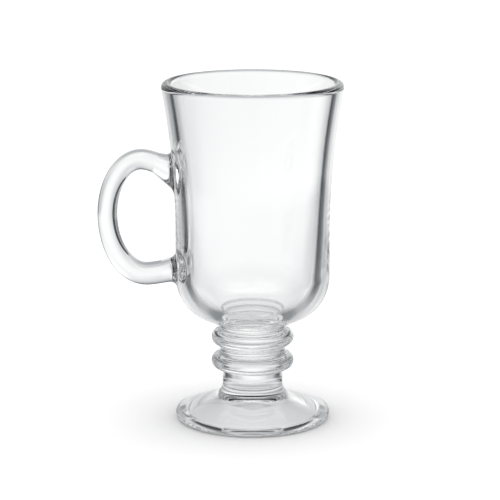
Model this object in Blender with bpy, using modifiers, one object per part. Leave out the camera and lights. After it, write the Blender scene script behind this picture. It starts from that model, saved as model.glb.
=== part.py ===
"""Footed glass coffee mug: a flared bowl with a loop handle, on a knopped stem and a round foot.

Metres, +Z up.  The origin is on the bowl's axis, in the plane of the ring the foot stands on, and the
handle points along -X.  The pieces are stacked from the foot upwards, and each fused seam is drawn as a
hairline gap.
"""
import math

import bmesh
import bpy
from mathutils import Vector

WELD_GAP = 0.0003            # hairline left at every fused seam

# Foot: a low cone with a full-round edge, a cove that sweeps up into the stem and a hollow underside.
FOOT_RADIUS = 0.0325
FOOT_EDGE = 0.0050           # thickness of the rounded edge
FOOT_SLOPE = math.radians(20.0)
FOOT_COVE = 0.0065           # radius of the sweep into the stem
FOOT_RING = 0.0270           # inner radius of the flat ring that the foot stands on
RING_ROUND = 0.0012          # radius between that ring and the hollow
HOLLOW_SLOPE = math.radians(30.0)

# Stem: a plain column under two ring knops.
COLUMN_RADIUS = 0.0127
COLUMN_COVE = 0.0012         # radius under the lower knop
LOWER_KNOP_RISE = 0.0088     # from the stem's lower end to the middle of the lower knop
KNOP_PITCH = 0.01025
KNOP_RADIUS = 0.0174
KNOP_ROUND = 0.0032          # radius of the bead that makes each knop
KNOP_SWEEP = math.radians(72.0)

# Bowl: a round-cornered base, a slight waist and a flare that ends in a rounded lip.
BOWL_RISE = 0.0070           # from the middle of the upper knop to the bowl's lowest point
BOWL_DEPTH = 0.1016          # from there to the top of the lip
BOWL_CORNER = 0.0191
WAIST_RADIUS = 0.03245
WAIST_RISE = 0.0400
RIM_RADIUS = 0.0380
UPPER_WALL = 0.00425         # thickness of the flare, which the lip rounds off
BASE_WALL = 0.0059           # thickness at the top of the inner corner
THIN_RISE = 0.0450           # height over which the wall thins from the one to the other
FLOOR_WALL = 0.0042
INNER_CORNER = 0.0160

# Handle: an ear-shaped loop of oval section with spread roots.
FINGER_GAP = 0.0242          # from the waist to the inner side of the loop
HANDLE_THICKNESS = 0.0083
HANDLE_DEPTH = 0.0115
HANDLE_SQUARENESS = 2.4      # exponent of the oval section
UPPER_ROOT_RISE = 0.0645     # heights of the loop's middle line above the bowl's lowest point
UPPER_ARM_RISE = 0.0678
LOOP_TOP_RISE = 0.0690
LOOP_SIDE_RISE = 0.0456
LOOP_FOOT_RISE = 0.0202
LOWER_ARM_RISE = 0.0210
LOWER_ROOT_RISE = 0.0222
UPPER_ARM_REACH = 0.0085     # reach of the middle line from the waist
LOOP_TOP_REACH = 0.0140
LOOP_FOOT_REACH = 0.0122
LOWER_ARM_REACH = 0.0055
UPPER_ROOT_THICKNESS = 0.0154
LOWER_ROOT_THICKNESS = 0.0120
LOWER_ARM_THICKNESS = 0.0093
ROOT_BITE = 0.0028           # how far the roots run into the wall before they are trimmed

TURN_STEPS = 48
STEM_STEPS = 40
LOOP_STEPS = 7
OVAL_STEPS = 16
MERGE = 0.00001
QUARTER_ELLIPSE = 0.5523     # Bezier handle length of a quarter ellipse, over its half axis

GLASS_COLOUR = (0.90, 0.94, 0.94, 1.0)
GLASS_IOR = 1.5


def arc(centre, radius, start, end, steps):
    """Points (r, z) on a circle from one angle to another, in radians."""
    points = []
    for step in range(steps + 1):
        angle = start + (end - start) * step / steps
        points.append((centre[0] + radius * math.cos(angle), centre[1] + radius * math.sin(angle)))
    return points


def joined(*stretches):
    """One outline from several stretches, without the points that repeat where they meet."""
    outline = []
    for stretch in stretches:
        for point in stretch:
            if not outline or math.dist(point, outline[-1]) > 4.0 * MERGE:
                outline.append(point)
    return outline


def bearing(centre, point):
    """Angle of a point seen from a centre."""
    return math.atan2(point[1] - centre[1], point[0] - centre[0])


# Heights of the stack, worked out from the foot upwards.
EDGE_ROUND = FOOT_EDGE / 2.0
EDGE_CENTRE = (FOOT_RADIUS - EDGE_ROUND, EDGE_ROUND)
CONE_LOW = (EDGE_CENTRE[0] + EDGE_ROUND * math.sin(FOOT_SLOPE), EDGE_ROUND + EDGE_ROUND * math.cos(FOOT_SLOPE))
COVE_RADIUS = COLUMN_RADIUS + FOOT_COVE
COLLAR_TOP = CONE_LOW[1] + (CONE_LOW[0] - COVE_RADIUS) * math.tan(FOOT_SLOPE) + FOOT_COVE / math.cos(FOOT_SLOPE)
STEM_LOW = COLLAR_TOP + WELD_GAP
BEAD_RADIUS = KNOP_RADIUS - KNOP_ROUND
LOWER_KNOP = (BEAD_RADIUS, STEM_LOW + LOWER_KNOP_RISE)
UPPER_KNOP = (BEAD_RADIUS, LOWER_KNOP[1] + KNOP_PITCH)
BOWL_LOW = UPPER_KNOP[1] + BOWL_RISE
CORNER_CENTRE = (WAIST_RADIUS - BOWL_CORNER, BOWL_LOW + BOWL_CORNER)
WAIST_HEIGHT = BOWL_LOW + WAIST_RISE
RIM_HEIGHT = BOWL_LOW + BOWL_DEPTH

# Dome of the hollow underside, tangent to the round inside the ring.
DOME_EDGE = (FOOT_RING - RING_ROUND * math.sin(HOLLOW_SLOPE), RING_ROUND * (1.0 - math.cos(HOLLOW_SLOPE)))
DOME_RADIUS = DOME_EDGE[0] / math.sin(HOLLOW_SLOPE)
DOME_CENTRE = (0.0, DOME_EDGE[1] - DOME_RADIUS * math.cos(HOLLOW_SLOPE))

# Cove between the two knops, tangent to both beads.
MIDDLE_COVE = KNOP_PITCH / 2.0 / math.sin(KNOP_SWEEP) - KNOP_ROUND
MIDDLE_CENTRE = (BEAD_RADIUS + (KNOP_ROUND + MIDDLE_COVE) * math.cos(KNOP_SWEEP), LOWER_KNOP[1] + KNOP_PITCH / 2.0)

# Cove under the bowl, tangent to the upper bead and to the bowl's round corner.  Its throat is the seam.
SWEEP_LINE = Vector((math.cos(KNOP_SWEEP), math.sin(KNOP_SWEEP)))
BEAD_END = Vector(UPPER_KNOP) + KNOP_ROUND * SWEEP_LINE - Vector(CORNER_CENTRE)
NECK_COVE = (BOWL_CORNER ** 2 - BEAD_END.length_squared) / (2.0 * (BEAD_END.dot(SWEEP_LINE) - BOWL_CORNER))
NECK_CENTRE = tuple(Vector(UPPER_KNOP) + (KNOP_ROUND + NECK_COVE) * SWEEP_LINE)
SEAM_DIP = math.asin(WELD_GAP / 2.0 / NECK_COVE)

# Cove under the lower knop, tangent to its bead and to the column.
COLUMN_CENTRE_RADIUS = COLUMN_RADIUS + COLUMN_COVE
COLUMN_SWEEP = math.acos((COLUMN_CENTRE_RADIUS - BEAD_RADIUS) / (KNOP_ROUND + COLUMN_COVE))
COLUMN_CENTRE = (COLUMN_CENTRE_RADIUS, LOWER_KNOP[1] - (KNOP_ROUND + COLUMN_COVE) * math.sin(COLUMN_SWEEP))

# Flare of the outer wall: an arc that leaves the waist upright and runs tangent into the lip.
LIP_ROUND = UPPER_WALL / 2.0
LIP_CENTRE = (RIM_RADIUS - LIP_ROUND, RIM_HEIGHT - LIP_ROUND)
LIP_REACH = math.dist(LIP_CENTRE, (WAIST_RADIUS, WAIST_HEIGHT))
FLARE_RADIUS = (LIP_REACH ** 2 - LIP_ROUND ** 2) / (2.0 * (RIM_RADIUS - WAIST_RADIUS))
FLARE_CENTRE = (WAIST_RADIUS + FLARE_RADIUS, WAIST_HEIGHT)
FLARE_TURN = bearing(FLARE_CENTRE, LIP_CENTRE)

# Inside of the bowl: its corner leans outwards at the slope at which the wall starts to thin.
BOWL_FLOOR = BOWL_LOW + FLOOR_WALL
INNER_LEAN = math.atan(2.0 * (BASE_WALL - UPPER_WALL) / THIN_RISE)
INNER_RADIUS = WAIST_RADIUS - BASE_WALL
INNER_CENTRE = (INNER_RADIUS - INNER_CORNER * math.cos(INNER_LEAN), BOWL_FLOOR + INNER_CORNER)
INNER_LOW = INNER_CENTRE[1] - INNER_CORNER * math.sin(INNER_LEAN)


def inner_wall(steps):
    """Points up the inside of the bowl: the flare set back by a wall that thins upwards."""
    high = LIP_CENTRE[1] + LIP_ROUND * math.sin(FLARE_TURN)
    points = []
    for step in range(steps + 1):
        z = INNER_LOW + (high - INNER_LOW) * step / steps
        left = max(1.0 - (z - INNER_LOW) / THIN_RISE, 0.0)
        wall = UPPER_WALL + (BASE_WALL - UPPER_WALL) * left ** 2
        up = max(z - WAIST_HEIGHT, 0.0)
        points.append((FLARE_CENTRE[0] - math.sqrt((FLARE_RADIUS + wall) ** 2 - up ** 2), z))
    return points


def outer_wall(swell=0.0):
    """Points down the outside of the bowl from the lip to the cove, moved outwards by a swell."""
    return joined(
        arc(LIP_CENTRE, LIP_ROUND + swell, math.pi / 2.0, FLARE_TURN - math.pi, 5),
        arc(FLARE_CENTRE, FLARE_RADIUS - swell, FLARE_TURN, math.pi, 9),
        arc(CORNER_CENTRE, BOWL_CORNER + swell, 0.0, bearing(CORNER_CENTRE, NECK_CENTRE), 9),
    )


def collection(name):
    """A new collection linked to the scene."""
    made = bpy.data.collections.new(name)
    bpy.context.scene.collection.children.link(made)
    return made


def glass(name, roughness):
    """Clear glass for one piece."""
    material = bpy.data.materials.new(name)
    material.use_nodes = True
    shader = material.node_tree.nodes["Principled BSDF"]
    shader.inputs["Base Color"].default_value = GLASS_COLOUR
    shader.inputs["Metallic"].default_value = 0.0
    shader.inputs["Roughness"].default_value = roughness
    shader.inputs["IOR"].default_value = GLASS_IOR
    shader.inputs["Transmission Weight"].default_value = 1.0
    return material


def turned(name, outline, steps, group, material=None):
    """A solid turned about Z from an outline that starts and ends on the axis."""
    mesh = bpy.data.meshes.new(name)
    edges = [(index, index + 1) for index in range(len(outline) - 1)]
    mesh.from_pydata([(radius, 0.0, z) for radius, z in outline], edges, [])
    piece = bpy.data.objects.new(name, mesh)
    group.objects.link(piece)
    screw = piece.modifiers.new("turn", "SCREW")
    screw.axis = "Z"
    screw.steps = steps
    screw.render_steps = steps
    screw.use_merge_vertices = True
    screw.merge_threshold = MERGE
    screw.use_smooth_shade = True
    if material:
        mesh.materials.append(material)
    return piece


def build_bowl(group):
    """Bowl: up the inside, over the lip, down the outside and across the seam."""
    seam = arc(NECK_CENTRE, NECK_COVE, bearing(NECK_CENTRE, CORNER_CENTRE), math.pi - SEAM_DIP, 4)
    outline = joined(
        [(0.0, BOWL_FLOOR)],
        arc(INNER_CENTRE, INNER_CORNER, -math.pi / 2.0, -INNER_LEAN, 7),
        inner_wall(8),
        arc(LIP_CENTRE, LIP_ROUND, FLARE_TURN, math.pi / 2.0, 4),
        outer_wall(),
        seam,
        [(0.0, seam[-1][1])],
    )
    return turned("bowl", outline, TURN_STEPS, group, glass("bowl_glass", 0.02))


def build_stem(group):
    """Stem: the throat under the bowl, two knops and the column."""
    top = arc(NECK_CENTRE, NECK_COVE, math.pi + SEAM_DIP, math.pi + KNOP_SWEEP, 3)
    turn = math.pi - COLUMN_SWEEP
    outline = joined(
        [(0.0, top[0][1])],
        top,
        arc(UPPER_KNOP, KNOP_ROUND, KNOP_SWEEP, -KNOP_SWEEP, 8),
        arc(MIDDLE_CENTRE, MIDDLE_COVE, math.pi - KNOP_SWEEP, math.pi + KNOP_SWEEP, 6),
        arc(LOWER_KNOP, KNOP_ROUND, KNOP_SWEEP, -COLUMN_SWEEP, 9),
        arc(COLUMN_CENTRE, COLUMN_COVE, turn, math.pi, 2),
        [(COLUMN_RADIUS, STEM_LOW), (0.0, STEM_LOW)],
    )
    return turned("stem", outline, STEM_STEPS, group, glass("stem_glass", 0.03))


def build_foot(group):
    """Foot: the collar under the stem, the cove, the cone, the round edge, the ring and the hollow in it."""
    cove = (COVE_RADIUS, COLLAR_TOP)
    outline = joined(
        [(0.0, COLLAR_TOP)],
        arc(cove, FOOT_COVE, math.pi, 1.5 * math.pi - FOOT_SLOPE, 7),
        arc(EDGE_CENTRE, EDGE_ROUND, math.pi / 2.0 - FOOT_SLOPE, -math.pi / 2.0, 7),
        arc((FOOT_RING, RING_ROUND), RING_ROUND, 1.5 * math.pi, 1.5 * math.pi - HOLLOW_SLOPE, 2),
        arc(DOME_CENTRE, DOME_RADIUS, math.pi / 2.0 - HOLLOW_SLOPE, math.pi / 2.0, 6)[:-1],
        [(0.0, DOME_CENTRE[1] + DOME_RADIUS)],
    )
    return turned("foot", outline, TURN_STEPS, group, glass("foot_glass", 0.03))


def wall_radius(z):
    """Outer radius of the bowl at a height between the corner and the lip."""
    if z >= WAIST_HEIGHT:
        return FLARE_CENTRE[0] - math.sqrt(FLARE_RADIUS ** 2 - (z - WAIST_HEIGHT) ** 2)
    if z <= CORNER_CENTRE[1]:
        return CORNER_CENTRE[0] + math.sqrt(BOWL_CORNER ** 2 - (CORNER_CENTRE[1] - z) ** 2)
    return WAIST_RADIUS


def oval_section(group):
    """Closed oval that the handle is swept from, long axis across the loop."""
    data = bpy.data.curves.new("handle_section", "CURVE")
    data.dimensions = "2D"
    data.fill_mode = "NONE"
    spline = data.splines.new("POLY")
    spline.points.add(OVAL_STEPS - 1)
    spline.use_cyclic_u = True
    power = 2.0 / HANDLE_SQUARENESS
    for index, point in enumerate(spline.points):
        angle = 2.0 * math.pi * index / OVAL_STEPS
        across = math.copysign(abs(math.cos(angle)) ** power, math.cos(angle)) * HANDLE_DEPTH / 2.0
        along = math.copysign(abs(math.sin(angle)) ** power, math.sin(angle)) * HANDLE_THICKNESS / 2.0
        point.co = (across, along, 0.0, 1.0)
    section = bpy.data.objects.new("handle_section", data)
    group.objects.link(section)
    return section


def loop_line():
    """Knots of the handle's middle line, from the upper root down, as (reach, height, heading, thickness)."""
    upper = BOWL_LOW + UPPER_ROOT_RISE
    lower = BOWL_LOW + LOWER_ROOT_RISE
    climb = math.atan2(LOOP_TOP_RISE - UPPER_ROOT_RISE, LOOP_TOP_REACH)
    dip = math.atan2(LOOP_FOOT_RISE - LOWER_ROOT_RISE, LOOP_FOOT_REACH)
    side = WAIST_RADIUS + FINGER_GAP + HANDLE_THICKNESS / 2.0
    return [
        (wall_radius(upper) - ROOT_BITE, upper, climb, UPPER_ROOT_THICKNESS),
        (WAIST_RADIUS + UPPER_ARM_REACH, BOWL_LOW + UPPER_ARM_RISE, climb, HANDLE_THICKNESS),
        (WAIST_RADIUS + LOOP_TOP_REACH, BOWL_LOW + LOOP_TOP_RISE, 0.0, HANDLE_THICKNESS),
        (side, BOWL_LOW + LOOP_SIDE_RISE, -math.pi / 2.0, HANDLE_THICKNESS),
        (WAIST_RADIUS + LOOP_FOOT_REACH, BOWL_LOW + LOOP_FOOT_RISE, math.pi, LOWER_ARM_THICKNESS),
        (WAIST_RADIUS + LOWER_ARM_REACH, BOWL_LOW + LOWER_ARM_RISE, math.pi + dip, LOWER_ARM_THICKNESS),
        (wall_radius(lower) - ROOT_BITE, lower, math.pi + dip, LOWER_ROOT_THICKNESS),
    ]


def loop_handles(knots):
    """Bezier handles of the middle line: a quarter ellipse's on the loop, a third of the way on the arms."""
    pairs = []
    for index, (reach, height, heading, _) in enumerate(knots):
        ends = []
        for other, sign in ((knots[max(index - 1, 0)], -1.0), (knots[min(index + 1, len(knots) - 1)], 1.0)):
            out = abs(other[0] - reach)
            up = abs(other[1] - height)
            round_side = abs(math.cos(heading)) < 0.5 or abs(math.cos(other[2])) < 0.5
            along = abs(math.cos(heading)) * out + abs(math.sin(heading)) * up
            length = sign * along * (QUARTER_ELLIPSE if round_side else 1.0 / 3.0)
            ends.append(Vector((-reach - length * math.cos(heading), 0.0, height + length * math.sin(heading))))
        pairs.append(ends)
    return pairs


def build_handle(group, tools):
    """Handle: an oval swept along the loop, with its roots trimmed to the outside of the bowl."""
    data = bpy.data.curves.new("handle_sweep", "CURVE")
    data.dimensions = "3D"
    data.twist_mode = "MINIMUM"
    data.resolution_u = LOOP_STEPS
    data.render_resolution_u = LOOP_STEPS
    data.bevel_mode = "OBJECT"
    data.bevel_object = oval_section(tools)
    data.use_fill_caps = True
    knots = loop_line()
    spline = data.splines.new("BEZIER")
    spline.bezier_points.add(len(knots) - 1)
    for point, (reach, height, _, thickness), (back, front) in zip(spline.bezier_points, knots, loop_handles(knots)):
        point.handle_left_type = "FREE"
        point.handle_right_type = "FREE"
        point.co = (-reach, 0.0, height)
        point.handle_left = back
        point.handle_right = front
        point.radius = thickness / HANDLE_THICKNESS
    sweep = bpy.data.objects.new("handle_sweep", data)
    group.objects.link(sweep)
    bpy.context.view_layer.update()

    mesh = bpy.data.meshes.new_from_object(sweep.evaluated_get(bpy.context.evaluated_depsgraph_get()))
    mesh.name = "handle"
    work = bmesh.new()
    work.from_mesh(mesh)
    bmesh.ops.remove_doubles(work, verts=work.verts, dist=MERGE)
    bmesh.ops.recalc_face_normals(work, faces=work.faces)
    for face in work.faces:
        face.smooth = True
    work.to_mesh(mesh)
    work.free()
    handle = bpy.data.objects.new("handle", mesh)
    handle.matrix_world = sweep.matrix_world
    group.objects.link(handle)
    bpy.data.objects.remove(sweep)
    mesh.materials.clear()
    mesh.materials.append(glass("handle_glass", 0.02))

    wall = outer_wall(WELD_GAP)
    envelope = joined([(0.0, wall[0][1])], wall, [(0.0, wall[-1][1])])
    cutter = turned("bowl_envelope", envelope, TURN_STEPS, tools)
    trim = handle.modifiers.new("trim_roots", "BOOLEAN")
    trim.operation = "DIFFERENCE"
    trim.solver = "EXACT"
    trim.object = cutter
    return handle


def main():
    """Remove what the scene holds, then build the mug from the foot up."""
    for old in list(bpy.data.objects):
        bpy.data.objects.remove(old)
    mug = collection("glass_coffee_mug")
    tools = collection("cutters")
    build_foot(mug)
    build_stem(mug)
    build_bowl(mug)
    build_handle(mug, tools)
    for tool in tools.objects:
        tool.hide_render = True
        tool.display_type = "WIRE"


main()
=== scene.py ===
"""Looks of the footed glass coffee mug: four fused pieces of clear glass in a plain bright studio."""
import logging
import math
from dataclasses import dataclass, field
from enum import IntEnum
from typing import Mapping, Sequence

import bmesh
import bpy
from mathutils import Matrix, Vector
from mathutils.geometry import delaunay_2d_cdt


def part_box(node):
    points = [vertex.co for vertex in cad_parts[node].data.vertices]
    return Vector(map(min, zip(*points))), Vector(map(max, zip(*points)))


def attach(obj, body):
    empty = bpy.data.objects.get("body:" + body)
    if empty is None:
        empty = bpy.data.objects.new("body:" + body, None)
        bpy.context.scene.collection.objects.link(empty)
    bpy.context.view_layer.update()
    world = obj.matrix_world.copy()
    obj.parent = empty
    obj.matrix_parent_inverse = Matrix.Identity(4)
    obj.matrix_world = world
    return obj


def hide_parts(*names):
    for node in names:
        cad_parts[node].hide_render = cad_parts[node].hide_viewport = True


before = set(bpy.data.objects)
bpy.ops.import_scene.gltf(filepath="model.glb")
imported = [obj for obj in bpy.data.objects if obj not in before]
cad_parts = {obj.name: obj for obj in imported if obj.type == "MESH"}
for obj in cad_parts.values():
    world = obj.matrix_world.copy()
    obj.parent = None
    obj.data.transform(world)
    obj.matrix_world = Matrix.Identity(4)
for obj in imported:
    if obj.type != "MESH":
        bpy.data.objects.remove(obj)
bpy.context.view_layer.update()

LOG = logging.getLogger("glass_mug")
BODY = "root"

Point2 = tuple[float, float]
Ring = list[int]
Section = list[Vector]
Cell = tuple[int, int]
Corners = tuple[int, int, int]
Socket = bpy.types.NodeSocket
Feed = Socket | float | Sequence[float]

TURN_SEGMENTS = 160       # columns of every turned surface
HANDLE_ANGLE = math.pi    # where the handle stands round the axis
COLUMN_RADIUS = 0.0127    # the stem's column, into which the foot sweeps up
AXIS_EPS = 1e-7           # a smaller radius is on the axis
SAME_POINT = 2e-6         # points of an outline that are closer are one point
SLOPE_STEP = 1e-5         # step over which a slope of the wall is measured
HALVINGS = 60             # rounds of the search for where a line meets the wall
NET_SCALE = 1000.0        # the net round the roots is worked out in millimetres
NET_EPS = 1e-6            # points of that net that are closer are one point
QUARTER_LEAD = 0.5523     # Bezier lead of a quarter ellipse, as a share of its half axis
ARM_LEAD = 1.0 / 3.0      # Bezier lead of a nearly straight arm, as a share of its length
STEEP_COSINE = 0.5        # a knot whose heading has a smaller cosine is on the loop's side
COOLNESS = 0.036          # how much bluer the dark greys of the stage are
WHITE = (1.0, 1.0, 1.0, 1.0)


class Skin(IntEnum):
    """What a face of a piece is: open glass, or the fused seam to its neighbour."""

    GLASS = 0
    SEAM = 1


def arc(centre: Point2, radius: float, start: float, end: float, steps: int) -> list[Point2]:
    """Points on a circle from one angle to another.

    Args:
        centre: The circle's centre, as radius and height.
        radius: The circle's radius.
        start: First angle, in radians.
        end: Last angle, in radians.
        steps: How many stretches the arc is cut into.

    Returns:
        The points, as (radius, height).
    """
    angles = [start + (end - start) * step / steps for step in range(steps + 1)]
    return [(centre[0] + radius * math.cos(a), centre[1] + radius * math.sin(a)) for a in angles]


def line(start: Point2, end: Point2, steps: int) -> list[Point2]:
    """Points on a straight stretch.

    Args:
        start: First point, as radius and height.
        end: Last point.
        steps: How many stretches the line is cut into.

    Returns:
        The points, with both ends.
    """
    run, rise = end[0] - start[0], end[1] - start[1]
    return [(start[0] + run * k / steps, start[1] + rise * k / steps) for k in range(steps + 1)]


def bearing(centre: Point2, point: Point2) -> float:
    """Angle of a point seen from a centre."""
    return math.atan2(point[1] - centre[1], point[0] - centre[0])


def joined(*stretches: Sequence[Point2]) -> list[Point2]:
    """One outline from several stretches.

    Args:
        *stretches: Lists of points that follow one another.

    Returns:
        All the points in order, without those that repeat where stretches meet.
    """
    outline: list[Point2] = []
    for stretch in stretches:
        for point in stretch:
            if not outline or math.dist(point, outline[-1]) > SAME_POINT:
                outline.append(point)
    return outline


def inside_outline(point: Point2, outline: Sequence[Point2]) -> bool:
    """Whether a point lies inside a closed outline.

    Args:
        point: The point.
        outline: The outline's points in order.

    Returns:
        True if the point is inside.
    """
    inside = False
    for (ax, ay), (bx, by) in zip(outline, list(outline[1:]) + [outline[0]]):
        if (ay > point[1]) != (by > point[1]):
            if point[0] < (bx - ax) * (point[1] - ay) / (by - ay) + ax:
                inside = not inside
    return inside


class Shell:
    """A closed mesh in the making, with a skin for each face and set normals where they are known."""

    def __init__(self) -> None:
        """Start with nothing."""
        self.points: list[Vector] = []
        self.faces: list[tuple[int, ...]] = []
        self.skins: list[Skin] = []
        self.normals: dict[int, Vector] = {}

    def point(self, place: Vector) -> int:
        """Add a point and return its number."""
        self.points.append(place)
        return len(self.points) - 1

    def face(self, corners: Sequence[int], skin: Skin = Skin.GLASS) -> None:
        """Add a face, if it has three corners or more.

        Args:
            corners: Numbers of its corners. One that repeats is left out.
            skin: What the face is.
        """
        unique = tuple(dict.fromkeys(corners))
        if len(unique) > 2:
            self.faces.append(unique)
            self.skins.append(skin)

    def ring(self, radius: float, height: float) -> Ring:
        """Add a ring about the axis.

        Args:
            radius: Radius of the ring. On the axis it is one point.
            height: Height of the ring.

        Returns:
            The numbers of its points, anticlockwise seen from above.
        """
        if radius < AXIS_EPS:
            return [self.point(Vector((0.0, 0.0, height)))] * TURN_SEGMENTS
        turn = 2.0 * math.pi / TURN_SEGMENTS
        return [
            self.point(Vector((radius * math.cos(turn * i), radius * math.sin(turn * i), height)))
            for i in range(TURN_SEGMENTS)
        ]

    def band(self, first: Ring, second: Ring, skin: Skin = Skin.GLASS, skip: range = range(0)) -> None:
        """Join two rings by faces.

        Args:
            first: The ring that comes first on the outline.
            second: The ring that follows it.
            skin: What the faces are.
            skip: Columns that are left open.
        """
        count = len(first)
        for i in range(count):
            if i not in skip:
                j = (i + 1) % count
                self.face((first[i], second[i], second[j], first[j]), skin)

    def turned(self, outline: Sequence[Point2]) -> list[Ring]:
        """Turn an outline of open glass about the axis.

        Args:
            outline: Points that run down the outer side, as (radius, height).

        Returns:
            One ring for each point.
        """
        rings = [self.ring(radius, height) for radius, height in outline]
        for first, second in zip(rings, rings[1:]):
            self.band(first, second)
        return rings

    def seam_disc(self, rim: Ring, height: float, facing_up: bool) -> None:
        """Close a turned end with a flat seam.

        Args:
            rim: The ring at the end.
            height: Height of the seam.
            facing_up: Whether the seam looks upwards.
        """
        centre = self.ring(0.0, height)
        if facing_up:
            self.band(centre, rim, Skin.SEAM)
        else:
            self.band(rim, centre, Skin.SEAM)
        for number in rim:
            outward = self.points[number].copy()
            outward.z = 0.0
            self.normals[number] = outward.normalized()

    def piece(self, name: str) -> bpy.types.Object:
        """Make the mesh object.

        Args:
            name: Name of the piece.

        Returns:
            The object, smooth all over, with the seams left out of the glass's normals.
        """
        mesh = bpy.data.meshes.new(name)
        mesh.from_pydata([tuple(p) for p in self.points], [], self.faces)
        mesh.polygons.foreach_set("material_index", [int(s) for s in self.skins])
        mesh.polygons.foreach_set("use_smooth", [True] * len(self.faces))
        normals = [Vector() for _ in self.points]
        for polygon, skin in zip(mesh.polygons, self.skins):
            if skin is Skin.GLASS:
                for number in polygon.vertices:
                    normals[number] += polygon.normal * polygon.area
        for number, normal in self.normals.items():
            normals[number] = normal
        up = Vector((0.0, 0.0, 1.0))
        unit_normals = [tuple(n.normalized() if n.length else up) for n in normals]
        mesh.normals_split_custom_set_from_vertices(unit_normals)
        mesh.update()
        made = bpy.data.objects.new(name, mesh)
        bpy.context.scene.collection.objects.link(made)
        return made


class NodeBench:
    """A node tree in the making, with short ways to add nodes and to join their sockets."""

    def __init__(self, tree: bpy.types.NodeTree) -> None:
        """Start with an empty tree.

        Args:
            tree: The tree. Nodes that it has are removed.
        """
        tree.nodes.clear()
        self.nodes = tree.nodes
        self.links = tree.links

    def put(self, socket: Socket, value: Feed) -> None:
        """Set an input, or join it to the socket that feeds it.

        Args:
            socket: The input.
            value: A constant, or the socket that gives the value.
        """
        if isinstance(value, Socket):
            self.links.new(value, socket)
        else:
            socket.default_value = value

    def node(self, kind: str, inputs: Mapping[str | int, Feed], **settings: str) -> bpy.types.Node:
        """Add a node.

        Args:
            kind: Type of the node.
            inputs: What goes into it, by the input's name or number.
            **settings: Choices of the node, such as its operation.

        Returns:
            The node.
        """
        made = self.nodes.new(kind)
        for name, choice in settings.items():
            setattr(made, name, choice)
        for key, value in inputs.items():
            self.put(made.inputs[key], value)
        return made

    def maths(self, operation: str, *values: Feed) -> Socket:
        """Work out a value by a Math node.

        Args:
            operation: Name of the operation.
            *values: Its numbers, or the sockets that give them.

        Returns:
            The socket of the result.
        """
        made = self.node("ShaderNodeMath", dict(enumerate(values)), operation=operation)
        return made.outputs["Value"]

    def smooth_step(self, value: Socket, ends: Point2) -> Socket:
        """Put a smooth step on a value.

        Args:
            value: The socket of the value.
            ends: Where the step starts and ends.

        Returns:
            The socket of the step, 0 to 1.
        """
        inputs = {"Value": value, "From Min": ends[0], "From Max": ends[1]}
        return self.node("ShaderNodeMapRange", inputs, interpolation_type="SMOOTHSTEP").outputs["Result"]

    def ramp(self, place: Socket, stops: Sequence[Point2]) -> Socket:
        """Make a grey ramp.

        Args:
            place: The socket of the place on the ramp, 0 to 1.
            stops: Places and grey levels.

        Returns:
            The socket of the colour.
        """
        made = self.node("ShaderNodeValToRGB", {"Fac": place})
        elements = made.color_ramp.elements
        while len(elements) < len(stops):
            elements.new(0.5)
        for element, (position, level) in zip(elements, stops):
            element.position = position
            element.color = (level, level, level, 1.0)
        return made.outputs["Color"]

    def cool(self, level: Socket) -> Socket:
        """Cool a grey level the more the darker it is.

        Args:
            level: The socket of the grey level.

        Returns:
            The socket of the colour.
        """
        powers = {"Red": 1.0 + COOLNESS, "Green": 1.0, "Blue": 1.0 - COOLNESS}
        channels = {name: self.maths("POWER", level, power) for name, power in powers.items()}
        return self.node("ShaderNodeCombineColor", channels).outputs["Color"]

    def glow(self, colour: Socket, strength: Feed = 1.0) -> Socket:
        """Make a shader that gives off light.

        Args:
            colour: The socket of its colour.
            strength: Its strength, where 1 shows the colour as it is.

        Returns:
            The socket of the shader.
        """
        made = self.node("ShaderNodeEmission", {"Color": colour, "Strength": strength})
        return made.outputs["Emission"]

    def matt(self, level: float) -> Socket:
        """Make a matt grey shader."""
        made = self.node("ShaderNodeBsdfDiffuse", {"Color": (level, level, level, 1.0)})
        return made.outputs["BSDF"]

    def see_through(self) -> Socket:
        """Make a shader that lets every ray through."""
        return self.node("ShaderNodeBsdfTransparent", {}).outputs["BSDF"]

    def mix(self, share: Socket, first: Socket, second: Socket) -> Socket:
        """Mix two shaders.

        Args:
            share: The socket of the second shader's share, 0 to 1.
            first: The socket of the first shader.
            second: The socket of the second shader.

        Returns:
            The socket of the mixed shader.
        """
        return self.node("ShaderNodeMixShader", {0: share, 1: first, 2: second}).outputs["Shader"]


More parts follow.
